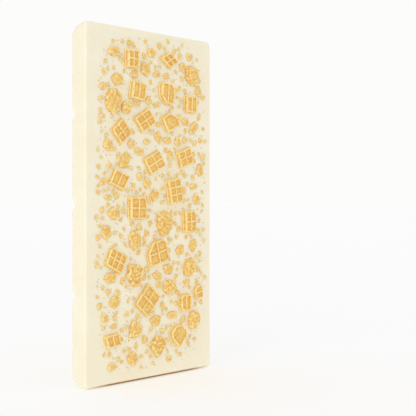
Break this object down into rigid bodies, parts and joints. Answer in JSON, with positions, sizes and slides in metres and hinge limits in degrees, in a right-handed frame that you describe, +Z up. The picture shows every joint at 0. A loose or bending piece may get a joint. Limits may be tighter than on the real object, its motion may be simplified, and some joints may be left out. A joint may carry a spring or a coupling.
{
  "type": "white chocolate bar",
  "caption": "White chocolate tablet standing on its short end, pips moulded on one side, broken waffle pieces and crumbs set into the flat side.",
  "frame": {"origin": "middle of the tablet's footprint, on the surface that it stands on", "axes": "+Z up along the tablet's long side, +X across its width, +Y from the flat face with the waffle towards the moulded side"},
  "size_m": [0.075, 0.0132, 0.15],
  "materials": {
    "white_chocolate": "satin, smooth, slightly waxy",
    "waffle": "dry and matt, baked, with open pores"
  },
  "bodies": {
    "root": {"chocolate_slab": "white_chocolate", "waffle_piece_01": "waffle", "waffle_piece_02": "waffle", "waffle_piece_03": "waffle", "waffle_piece_04": "waffle", "waffle_piece_05": "waffle", "waffle_piece_06": "waffle", "waffle_piece_07": "waffle", "waffle_piece_08": "waffle", "waffle_piece_09": "waffle", "waffle_piece_10": "waffle", "waffle_piece_11": "waffle", "waffle_piece_12": "waffle", "waffle_piece_13": "waffle", "waffle_piece_14": "waffle", "waffle_piece_15": "waffle", "waffle_piece_16": "waffle", "waffle_piece_17": "waffle", "waffle_piece_18": "waffle", "waffle_piece_19": "waffle", "waffle_piece_20": "waffle", "waffle_piece_21": "waffle", "waffle_piece_22": "waffle", "waffle_piece_23": "waffle", "waffle_chunk_01": "waffle", "waffle_chunk_02": "waffle", "waffle_chunk_03": "waffle", "waffle_chunk_04": "waffle", "waffle_chunk_05": "waffle", "waffle_chunk_06": "waffle", "waffle_chunk_07": "waffle", "waffle_chunk_08": "waffle", "waffle_chunk_09": "waffle", "waffle_chunk_10": "waffle"}
  },
  "joints": []
}
